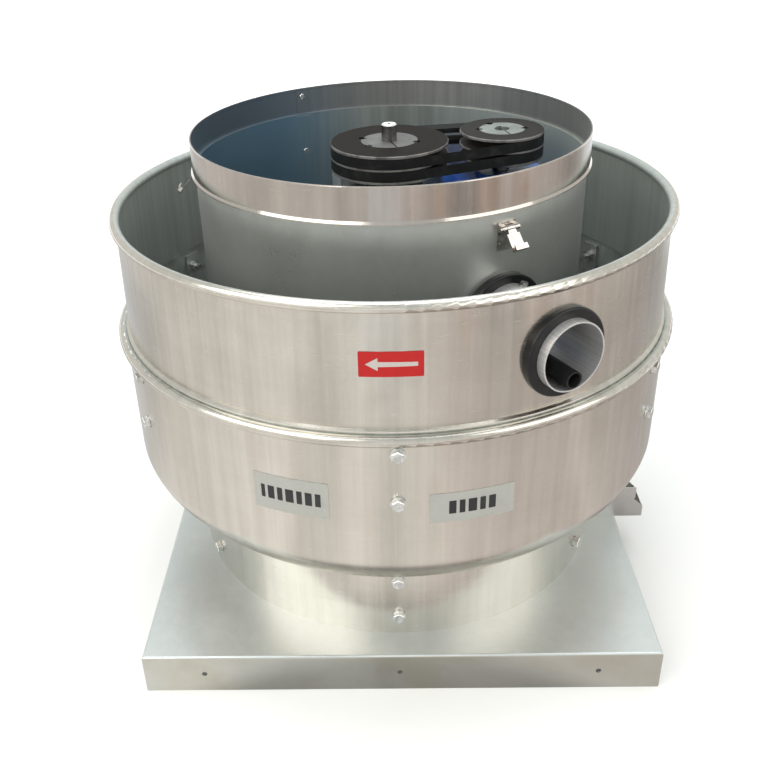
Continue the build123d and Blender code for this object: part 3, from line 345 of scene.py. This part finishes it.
def belt_fabric():
    """Wrapped V-belt: rubbered fabric with a fine diagonal weave and patches of dust."""
    f = Finish("belt_fabric", (0.009, 0.0095, 0.009), 0.0, 0.62, Specular_IOR_Level=0.2)
    x, y, z = f.local(turn=DRIVE_ANGLE)
    run = f.math("ADD", x, f.math("MULTIPLY", y, 0.6))
    warp = f.math("SINE", f.math("MULTIPLY", f.math("ADD", run, z), 6200))
    weft = f.math("SINE", f.math("MULTIPLY", f.math("SUBTRACT", run, z), 6200))
    weave = f.math("MULTIPLY", f.math("ADD", warp, weft), 0.25)
    dust = f.noise(f.place, 55, 5, 0.65)
    f.put("Base Color", f.mix(f.span(dust, 0.48, 0.86), (0.009, 0.0095, 0.009), (0.036, 0.037, 0.034)))
    f.put("Roughness", f.math("ADD", f.math("MULTIPLY", dust, 0.3), 0.45, clamp=True))
    f.put("Normal", f.bump(f.math("ADD", weave, dust), 0.35, 0.00018))
    return f


def cast(name, color, light, rough, axes=None, metallic=0.35, worn=None, gloss=0.5):
    """Phosphated or painted iron with turned rings and, where given, a bright worn rim radius."""
    f = Finish(name, color, metallic, rough, Specular_IOR_Level=gloss)
    x, y, along, _, radius = f.turned(f.local() if axes is None else axes(f))
    rings = f.noise(scaled(f, x, y, along, 9, 9, 1500), 1.0, 2, 0.6)
    skin = f.noise(f.place, 320, 4, 0.65)
    dust = f.noise(f.place, 38, 4, 0.6)
    tone = f.math("ADD", f.math("MULTIPLY", rings, 0.45), f.math("MULTIPLY", dust, 0.55))
    mixed = f.mix(f.span(tone, 0.40, 0.72), color, light)
    shine = f.math("ADD", rough - 0.12, f.math("MULTIPLY", dust, 0.24))
    if worn:
        low, high = worn
        patchy = f.math("MULTIPLY", f.span(radius, low, high), f.span(dust, 0.30, 0.62, 0.25, 1.0))
        mixed = f.mix(f.math("MULTIPLY", patchy, 0.8), mixed, (0.42, 0.40, 0.38))
        f.put("Metallic", f.math("ADD", metallic, f.math("MULTIPLY", patchy, 0.9 - metallic)))
    f.put("Base Color", mixed)
    f.put("Roughness", f.math("ADD", shine, f.math("MULTIPLY", rings, 0.08), clamp=True))
    f.put("Normal", f.bump(f.math("ADD", rings, f.math("MULTIPLY", skin, 0.8)), 0.22, 0.00014))
    return f


def enamel():
    """Sprayed motor enamel with a slight orange peel and patches of dust."""
    f = Finish("motor_enamel", (0.005, 0.085, 0.42), 0.0, 0.32, Coat_Weight=0.5,
               Coat_Roughness=0.15)
    peel = f.noise(f.place, 260, 2, 0.5)
    dust = f.noise(f.place, 30, 5, 0.62)
    f.put("Base Color", f.mix(f.span(dust, 0.35, 0.8), (0.004, 0.075, 0.40), (0.02, 0.15, 0.55)))
    f.put("Roughness", f.math("ADD", f.math("MULTIPLY", dust, 0.25), 0.2, clamp=True))
    f.put("Normal", f.bump(peel, 0.14, 0.0003))
    return f


def shaft_steel():
    """Ground shaft steel, darkened on its side, with faces that look up painted near white: a painted
    highlight.
    """
    f = Finish("shaft_steel", (0.30, 0.29, 0.28), 1.0, 0.34)
    x, y, along, _, _ = f.turned(f.local())
    rings = f.noise(scaled(f, x, y, along, 30, 30, 2600), 1.0, 2, 0.6)
    film = f.noise(f.place, 120, 4, 0.6)
    side = f.mix(f.span(film, 0.3, 0.75), (0.17, 0.165, 0.16), (0.36, 0.345, 0.33))
    # Faces that look up are painted near white: a painted highlight.
    facing = f.split(f.add("ShaderNodeNewGeometry").outputs["Normal"])[2]
    painted_top_highlight = f.span(facing, 0.55, 0.85)
    f.put("Base Color", f.mix(painted_top_highlight, side, (0.93, 0.92, 0.90)))
    f.put("Roughness", f.math("ADD", f.math("MULTIPLY", rings, 0.16),
                              f.math("ADD", 0.26, f.math("MULTIPLY", painted_top_highlight, 0.28)), clamp=True))
    f.put("Normal", f.bump(rings, 0.2, 0.0001))
    return f


def film_label(name, color, edge, rough):
    """Printed vinyl: a flat ink with slight mottling and patches of grime."""
    f = Finish(name, color, 0.0, rough, Specular_IOR_Level=0.25, Coat_Weight=0.1,
               Coat_Roughness=0.22)
    ink = f.noise(f.place, 220, 3, 0.6)
    grime_and_shade = f.noise(f.place, 26, 5, 0.65, 0.3)
    f.put("Base Color", f.mix(f.math("MULTIPLY", f.span(grime_and_shade, 0.45, 0.8), 0.5),
                              f.mix(f.math("MULTIPLY", ink, 0.25), color, edge), edge))
    f.put("Roughness", f.math("ADD", f.math("MULTIPLY", grime_and_shade, 0.2), rough - 0.08, clamp=True))
    f.put("Normal", f.bump(grime_and_shade, 0.12, 0.0008, f.bump(ink, 0.06, 0.0001)))
    return f


def motor_axes(f):
    """Coordinates about the motor's shaft."""
    centre = (MOTOR_DISTANCE * cos(DRIVE_ANGLE), MOTOR_DISTANCE * sin(DRIVE_ANGLE), 0)
    return f.local(centre)


def tube_axes(f):
    """Coordinates about the breather tube, with its length as local Z."""
    return f.local((0, 0, TUBE_HEIGHT), radians(TUBE_AZIMUTH - 90), tip=True)


# The inside tints are painted shade on faces that look towards the axis; the cap's last tint is a
# painted shade on its upright faces.
FINISHES = {
    "windband": spun("spun_aluminium", (0.68, 0.645, 0.585), (0.56, 0.525, 0.465), 0.20,
                     inside=((0.56, 0.60, 0.57), 0.18)),
    "wheel": spun("mill_aluminium", (0.70, 0.69, 0.67), (0.52, 0.51, 0.50), 0.36, 0.6),
    "collar": spun("mirror_sheet", (0.56, 0.515, 0.47), (0.48, 0.435, 0.39), 0.13, 0.7, 0.35, 0.55,
                   pitch=900, inside=((0.31, 0.31, 0.30), 0.20), painted_motor_reflection=True),
    "spout": galvanised("folded_sheet", (0.66, 0.655, 0.63), (0.52, 0.52, 0.50), 0.34),
    "cap": galvanised("galvanised_cap", (0.73, 0.76, 0.745), (0.60, 0.63, 0.62), 0.34,
                      grime_and_shade=(0.47, 0.455, 0.39)),
    "drum": galvanised("galvanised_drum", (0.585, 0.59, 0.56), (0.485, 0.49, 0.465), 0.31,
                       inside=(0.49, 0.52, 0.485)),
    "frame": galvanised("galvanised_frame", (0.66, 0.67, 0.66), (0.46, 0.47, 0.47), 0.42, 80, 0.3,
                        0.6),
    "tube": spun("turned_tube", (0.88, 0.87, 0.86), (0.56, 0.55, 0.545), 0.36, 1.4, 0.5, 0.0,
                 tube_axes, 1100, metallic=0.75),
    "zinc": plated("bright_zinc", (0.82, 0.83, 0.82), (0.58, 0.58, 0.56), 0.24),
    "latch": plated("bright_nickel", (0.70, 0.66, 0.62), (0.46, 0.42, 0.39), 0.17),
    "grommet": rubber("moulded_rubber", (0.005, 0.005, 0.0055), 0.32, 500, 0.25),
    "isolator": rubber("isolator_rubber", (0.010, 0.010, 0.010), 0.5, 420),
    "belt": belt_fabric(),
    "pulley": cast("pulley_iron", (0.008, 0.0068, 0.0055), (0.020, 0.017, 0.014), 0.52,
                   metallic=0.1, worn=(0.0716, 0.0726), gloss=0.06),
    "small_pulley": cast("small_pulley_iron", (0.012, 0.0108, 0.0095), (0.030, 0.027, 0.024), 0.52,
                         motor_axes, 0.1, (0.0516, 0.0526), 0.12),
    "bush": cast("bush_iron", (0.12, 0.12, 0.118), (0.22, 0.22, 0.215), 0.46, metallic=0.6),
    "small_bush": cast("small_bush_iron", (0.20, 0.22, 0.21), (0.34, 0.37, 0.355), 0.45,
                       motor_axes, metallic=0.6),
    "housing": cast("painted_casting", (0.06, 0.085, 0.075), (0.13, 0.16, 0.145), 0.46,
                    metallic=0.1),
    "hub": cast("hub_iron", (0.20, 0.20, 0.20), (0.36, 0.36, 0.36), 0.45, metallic=0.6),
    "screw": cast("black_oxide", (0.02, 0.02, 0.02), (0.07, 0.07, 0.07), 0.36, metallic=0.6),
    "steel": shaft_steel(),
    "enamel": enamel(),
}

DRESS = {
    "windband": ["lower_windband", "upper_windband"],
    "wheel": ["inlet_cone", "wheel_backplate", "wheel_shroud", "wheel_blades"],
    "collar": ["drum_collar"],
    "spout": ["drain_spout"],
    "cap": ["curb_cap"],
    "drum": ["motor_drum", "drum_floor"],
    "frame": ["drive_frame", "bearing_riser"] + [n for n in NODES if n.startswith("strut_")
                                                 and n != "strut_nuts"],
    "tube": ["breather_tube"],
    "zinc": ["windband_bolts", "strut_nuts", "sheet_rivets", "tube_screw", "bearing_bolts",
             "tension_nuts", "motor_foot_bolts", "tension_rods", "hub_bolts"],
    "latch": ["latch_bases", "latch_pins", "latch_lever_1", "latch_lever_2", "latch_lever_3"],
    "grommet": ["outer_grommet", "inner_grommet"],
    "isolator": ["vibration_isolators", "wiring_conduit"],
    "belt": ["v_belt_lower", "v_belt_upper"],
    "pulley": ["fan_pulley"],
    "small_pulley": ["motor_pulley"],
    "bush": ["fan_bush"],
    "small_bush": ["motor_bush"],
    "housing": ["lower_bearing_housing", "upper_bearing_housing"],
    "hub": ["wheel_hub"],
    "screw": ["fan_bush_screws", "motor_bush_screws"],
    "steel": ["fan_shaft", "motor_shaft", "bearing_inner_rings", "bearing_outer_rings"],
    "enamel": [n for n in NODES if n.startswith("motor_body") or n in (
        "motor_feet", "motor_end_bell", "motor_fan_cowl", "terminal_box")],
}

for finish, names in DRESS.items():
    for name in names:
        mesh = NODES[name].data
        mesh.materials.clear()
        mesh.materials.append(FINISHES[finish].material)


# ---------------------------------------------------------------- added pieces


def make(name, build, finish, smooth=35):
    """Fill a bmesh, turn it into an object with one material, and let it ride on the housing."""
    mesh = bpy.data.meshes.new(name)
    bm = bmesh.new()
    build(bm)
    bmesh.ops.recalc_face_normals(bm, faces=bm.faces)
    bm.to_mesh(mesh)
    bm.free()
    piece = bpy.data.objects.new(name, mesh)
    bpy.context.scene.collection.objects.link(piece)
    for face in mesh.polygons:
        face.use_smooth = True
    mesh.set_sharp_from_angle(angle=radians(smooth))
    mesh.materials.append(finish.material)
    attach(piece, "housing")


def rounded(low, high, radius, steps=5):
    """Outline of a rectangle with round corners, counter-clockwise."""
    (x0, y0), (x1, y1) = low, high
    corners = ((x1 - radius, y0 + radius, -90), (x1 - radius, y1 - radius, 0),
               (x0 + radius, y1 - radius, 90), (x0 + radius, y0 + radius, 180))
    points = []
    for cx, cy, start in corners:
        for i in range(steps + 1):
            a = radians(start + 90 * i / steps)
            points.append((cx + radius * cos(a), cy + radius * sin(a)))
    return points


def wrapped(outline, wall, lift, thickness):
    """Builder of a thin sheet cut to an outline of (arc length, height) and wrapped on a wall.

    wall(z) gives the radius at a height; lift is the gap under the sheet.
    """
    def build(bm):
        bm.faces.new([bm.verts.new((s, z, 0)) for s, z in outline])
        xs = [s for s, z in outline]
        cut = min(xs) + WRAP_STEP
        while cut < max(xs):
            geometry = list(bm.verts) + list(bm.edges) + list(bm.faces)
            bmesh.ops.bisect_plane(bm, geom=geometry, plane_co=(cut, 0, 0), plane_no=(1, 0, 0))
            cut += WRAP_STEP
        raised = bmesh.ops.extrude_face_region(bm, geom=list(bm.faces))
        tops = {v for v in raised["geom"] if isinstance(v, bmesh.types.BMVert)}
        for v in bm.verts:
            s, z = v.co.x, v.co.y
            r = wall(z) + lift + (thickness if v in tops else 0.0)
            a = s / wall(z)
            v.co = Vector((r * sin(a), -r * cos(a), z))
    return build


def ring_wall(z):
    """Outer radius of the upper ring, which narrows slightly towards its rim."""
    taper = (RING_LOW_R - RING_TOP_R) / (RING_TOP_Z - RING_LOW_Z)
    return RING_LOW_R - (z - RING_LOW_Z) * taper


def bowl_wall(z):
    """Outer radius of the bowl, which is the same at every height of the labels."""
    return BOWL_R


def arc(azimuth, radius):
    """Arc length from the front to an azimuth."""
    return radians(azimuth) * radius


RED = film_label("red_film", (0.42, 0.007, 0.006), (0.27, 0.006, 0.006), 0.38)
SILVER = film_label("silver_ink", (0.46, 0.42, 0.39), (0.32, 0.29, 0.27), 0.40)
GREY = film_label("grey_film", (0.37, 0.365, 0.335), (0.28, 0.275, 0.255), 0.44)
BLACK = film_label("black_ink", (0.018, 0.018, 0.02), (0.045, 0.045, 0.045), 0.45)


def arrow_outline(s0, s1, z, shaft, head, length):
    """Arrow that points towards lower arc length, with a shaft that narrows towards its tail."""
    return [(s0, z), (s0 + length, z - head), (s0 + length, z - shaft), (s1, z - shaft * 0.8),
            (s1, z + shaft * 0.8), (s0 + length, z + shaft), (s0 + length, z + head)]


def bar_row(middle_s, middle_z, widths):
    """Builder of a row of upright bars, centred on a label in place of its print."""
    def build(bm):
        s = middle_s - (sum(widths) * BAR_UNIT + BAR_GAP * (len(widths) - 1)) / 2
        for width in widths:
            low = (s, middle_z - BAR_HALF_HEIGHT)
            high = (s + width * BAR_UNIT, middle_z + BAR_HALF_HEIGHT)
            part = bmesh.new()
            lift = FILM_GAP + FILM + INK_GAP
            wrapped(rounded(low, high, 0.0006, 2), bowl_wall, lift, INK)(part)
            mesh = bpy.data.meshes.new("bar")
            part.to_mesh(mesh)
            part.free()
            bm.from_mesh(mesh)
            bpy.data.meshes.remove(mesh)
            s += width * BAR_UNIT + BAR_GAP
    return build


flag_low, flag_high = arc(-6.3, FLAG_R), arc(4.6, FLAG_R)
make("direction_label",
     wrapped(rounded((flag_low, 0.4625), (flag_high, 0.4905), 0.0012), ring_wall, FILM_GAP, FLAG_FILM),
     RED)
make("direction_arrow",
     wrapped(arrow_outline(flag_low + 0.007, flag_high - 0.006, 0.4765, 0.0028, 0.0072, 0.0125),
             ring_wall, FILM_GAP + FLAG_FILM + INK_GAP, INK),
     SILVER)

LABELS = (("left", -26.7, -12.2, 0.2855, 0.3325, (3, 5, 4, 6, 4, 5, 4)),
          ("right", 5.4, 21.0, 0.2830, 0.3215, (5, 4, 6, 4, 5)))
for side, az0, az1, z0, z1, widths in LABELS:
    s0, s1 = arc(az0, BOWL_R), arc(az1, BOWL_R)
    make(f"{side}_label",
         wrapped(rounded((s0, z0), (s1, z1), 0.0015), bowl_wall, FILM_GAP, FILM),
         GREY)
    make(f"{side}_label_bars", bar_row((s0 + s1) / 2, (z0 + z1) / 2, widths), BLACK)


def degrees_for(length, radius):
    """Angle in degrees of an arc length."""
    return length / radius * 180 / pi


def strip(azimuth, half_width, radius, z0, z1, thickness, bevel=0.0006):
    """Builder of a curved upright strip on the inside of a wall, with eased edges."""
    def build(bm):
        columns = 9
        rings = []
        for i in range(columns):
            t = -1 + 2 * i / (columns - 1)
            angle = azimuth + degrees_for(t * half_width, radius)
            ease = bevel if abs(t) == 1 else 0
            rings.append([bm.verts.new(around(angle, r, z)) for r, z in (
                (radius, z0), (radius, z1), (radius - thickness + ease, z1),
                (radius - thickness + ease, z0))])
        for a, b in zip(rings, rings[1:]):
            for i in range(4):
                j = (i + 1) % 4
                bm.faces.new((a[i], a[j], b[j], b[i]))
        bm.faces.new(rings[0])
        bm.faces.new(rings[-1][::-1])
    return build


make("drum_lap", strip(SEAM_AZIMUTH, 0.011, 0.23878, 0.289, 0.5855, 0.0008), FINISHES["drum"],
     smooth=20)
make("collar_lap", strip(SEAM_AZIMUTH, 0.010, 0.24198, 0.5888, 0.6208, 0.0008), FINISHES["collar"],
     smooth=20)


# ---------------------------------------------------------------- stage, light and camera


def floor_paint(name, color, rough):
    """Pale floor that glows far from the part, so that it stays white up to the picture's top."""
    f = Finish(name, color, 0.0, rough, Specular_IOR_Level=0.3)
    mottle = f.noise(f.place, 3.0, 4, 0.6)
    f.put("Base Color", f.mix(mottle, toned(color, 0.985), color))
    x, y, _ = f.split(f.place)
    f.put("Emission Color", (1, 1, 1, 1))
    f.put("Emission Strength", f.span(f.distance(x, y), 0.8, 4.0, 0.0, 0.75))
    return f.material


def add_floor():
    """Flat floor in a few large squares, longer behind the part."""
    mesh = bpy.data.meshes.new("floor")
    bm = bmesh.new()
    rows = [[bm.verts.new((x, y, FLOOR_Z)) for x in (-9, -3, 3, 9)] for y in (-9, -3, 3, 14)]
    for low, high in zip(rows, rows[1:]):
        for i in range(3):
            bm.faces.new((low[i], low[i + 1], high[i + 1], high[i]))
    bm.to_mesh(mesh)
    bm.free()
    mesh.materials.append(floor_paint("pale_floor", (0.90, 0.895, 0.885), 0.7))
    floor = bpy.data.objects.new("floor", mesh)
    bpy.context.scene.collection.objects.link(floor)


def add_light(name, azimuth, distance, height, size, power, color):
    """Soft rectangular light, aimed at the middle of the part and unseen by the camera."""
    data = bpy.data.lights.new(name, "AREA")
    data.shape = "RECTANGLE"
    data.size, data.size_y = size
    data.energy = power
    data.color = color
    light = bpy.data.objects.new(name, data)
    bpy.context.scene.collection.objects.link(light)
    light.location = around(azimuth, distance, height)
    toward = Vector(LIGHT_AIM) - light.location
    light.rotation_euler = toward.to_track_quat("-Z", "Y").to_euler()
    light.visible_camera = False


# Tints, and the (azimuth, tone, tint) stops of the disc that only reflections see
WARM, DULL, COOL, RUST = (1.0, 0.98, 0.95), (1.0, 0.93, 0.90), (1.0, 1.02, 1.05), (1.0, 0.82, 0.72)
FLOOR_TONES = (
    (-180, 0.62, COOL), (-135, 0.64, COOL), (-104, 0.60, WARM), (-88, 0.78, WARM), (-55, 0.86, WARM),
    (-36, 0.98, WARM), (-30, 0.80, WARM), (-20, 0.80, WARM), (-16, 0.94, WARM), (-8, 0.94, WARM),
    (-3, 0.70, WARM), (6, 0.86, WARM), (16, 0.80, DULL), (30, 0.66, DULL), (60, 0.60, DULL),
    (64, 0.70, DULL), (72, 0.58, DULL), (100, 0.48, DULL), (114, 0.46, WARM), (132, 0.52, WARM),
    (180, 0.62, COOL))
FAR_TONES = (
    (-180, 0.95, COOL), (-140, 0.66, WARM), (-110, 0.86, WARM), (-92, 0.80, WARM), (-70, 0.72, WARM),
    (-60, 0.86, WARM), (-42, 0.74, WARM), (-38, 0.84, WARM), (-24, 0.64, WARM), (-20, 0.76, WARM),
    (-12, 0.66, WARM), (-10, 0.80, COOL), (-2, 0.70, COOL), (0, 0.80, COOL), (9, 0.68, DULL),
    (12, 0.78, DULL), (20, 0.56, DULL), (24, 0.66, RUST), (32, 0.38, DULL), (44, 0.42, DULL),
    (47, 0.66, RUST), (56, 0.50, RUST), (60, 0.72, DULL), (74, 0.60, RUST), (78, 0.74, DULL),
    (98, 0.62, DULL), (112, 0.42, WARM), (122, 0.50, WARM), (136, 0.92, COOL), (180, 0.95, COOL))


def tone_ramp(f, position, tones):
    """Colour ramp from a list of (azimuth, tone, tint), looked up by a position around the disc."""
    ramp = f.add("ShaderNodeValToRGB")
    f.join(position, ramp.inputs[0])
    stops = ramp.color_ramp.elements
    for stop, (azimuth, tone, tint) in zip(stops, (tones[0], tones[-1])):
        stop.position, stop.color = azimuth / 360 + 0.5, (*toned(tint, tone), 1)
    for azimuth, tone, tint in tones[1:-1]:
        stops.new(azimuth / 360 + 0.5).color = (*toned(tint, tone), 1)
    return ramp.outputs[0]


def add_floor_card():
    """Disc just under the part that only glossy reflections see, with tones around it."""
    f = Finish("floor_card", (0, 0, 0), 0.0, 1.0)
    x, y, _ = f.split(f.place)
    turn = f.math("ARCTAN2", x, f.math("MULTIPLY", y, -1.0))
    position = f.math("ADD", f.math("MULTIPLY", turn, 0.5 / pi), 0.5)
    away = f.distance(x, y)
    tone = f.mix(f.span(away, 1.40, 1.55), tone_ramp(f, position, FLOOR_TONES),
                 tone_ramp(f, position, FAR_TONES))
    middle = f.math("SUBTRACT", f.span(away, 0.36, 0.43, 0.36, 1.16), f.span(away, 0.85, 1.1, 0.0, 0.14))
    emission = f.add("ShaderNodeEmission")
    f.join(tone, emission.inputs["Color"])
    f.join(middle, emission.inputs["Strength"])
    f.join(emission.outputs[0], f.tree.nodes["Material Output"].inputs[0])
    f.tree.nodes.remove(f.shader)
    mesh = bpy.data.meshes.new("floor_card")
    bm = bmesh.new()
    bmesh.ops.create_circle(bm, cap_ends=True, segments=64, radius=CARD_R)
    bm.to_mesh(mesh)
    bm.free()
    mesh.materials.append(f.material)
    card = bpy.data.objects.new("floor_card", mesh)
    bpy.context.scene.collection.objects.link(card)
    card.location.z = CARD_Z
    card.visible_camera = False
    card.visible_diffuse = False
    card.visible_shadow = False
    card.visible_transmission = False


def add_world():
    """Plain surround: pale low down, darker and cooler overhead, and white behind the floor."""
    world = bpy.data.worlds.new("studio")
    bpy.context.scene.world = world
    world.use_nodes = True
    tree = world.node_tree
    background = tree.nodes["Background"]
    place = tree.nodes.new("ShaderNodeTexCoord")
    split = tree.nodes.new("ShaderNodeSeparateXYZ")
    ramp = tree.nodes.new("ShaderNodeValToRGB")
    stops = ramp.color_ramp.elements
    stops[0].position, stops[0].color = 0.0, (0.84, 0.82, 0.79, 1)
    stops[1].position, stops[1].color = 1.0, (0.58, 0.64, 0.66, 1)
    middle = stops.new(0.5)
    middle.color = (0.86, 0.89, 0.87, 1)
    path = tree.nodes.new("ShaderNodeLightPath")
    choose = tree.nodes.new("ShaderNodeMix")
    choose.data_type = "RGBA"
    choose.inputs["B"].default_value = (1, 1, 1, 1)
    link = tree.links.new
    link(place.outputs["Generated"], split.inputs[0])
    link(split.outputs[2], ramp.inputs[0])
    link(ramp.outputs[0], choose.inputs["A"])
    link(path.outputs["Is Camera Ray"], choose.inputs["Factor"])
    link(choose.outputs["Result"], background.inputs["Color"])
    background.inputs["Strength"].default_value = 1.0


def add_camera():
    """Camera in front, about 30 degrees above, with a slight turn and tilt."""
    turn = Matrix.Rotation(YAW, 3, "Z") @ Matrix.Rotation(PITCH, 3, "X")
    right, ahead, up = (turn @ Vector(v) for v in ((1, 0, 0), (0, 1, 0), (0, 0, 1)))
    tilted_right = cos(ROLL) * right + sin(ROLL) * up
    tilted_up = -sin(ROLL) * right + cos(ROLL) * up
    matrix = Matrix((tilted_right, tilted_up, -ahead)).transposed().to_4x4()
    data = bpy.data.cameras.new("camera")
    data.sensor_fit = "HORIZONTAL"
    data.sensor_width = 36
    data.lens = LENS
    data.shift_x = SHIFT_X
    data.clip_start = 0.01
    camera = bpy.data.objects.new("camera", data)
    bpy.context.scene.collection.objects.link(camera)
    camera.matrix_world = Matrix.Translation(CAMERA_PLACE) @ matrix
    bpy.context.scene.camera = camera


add_floor()
add_floor_card()
add_world()
add_light("key", -50, 2.6, 2.4, (3.0, 2.4), 58, (1.0, 0.975, 0.94))
add_light("fill", 60, 2.8, 2.2, (2.6, 2.2), 28, (1.0, 0.97, 0.93))
add_light("top", 180, 0.6, 2.9, (2.2, 2.2), 42, (0.97, 0.99, 1.0))
add_camera()
bpy.context.scene.view_settings.view_transform = "Standard"
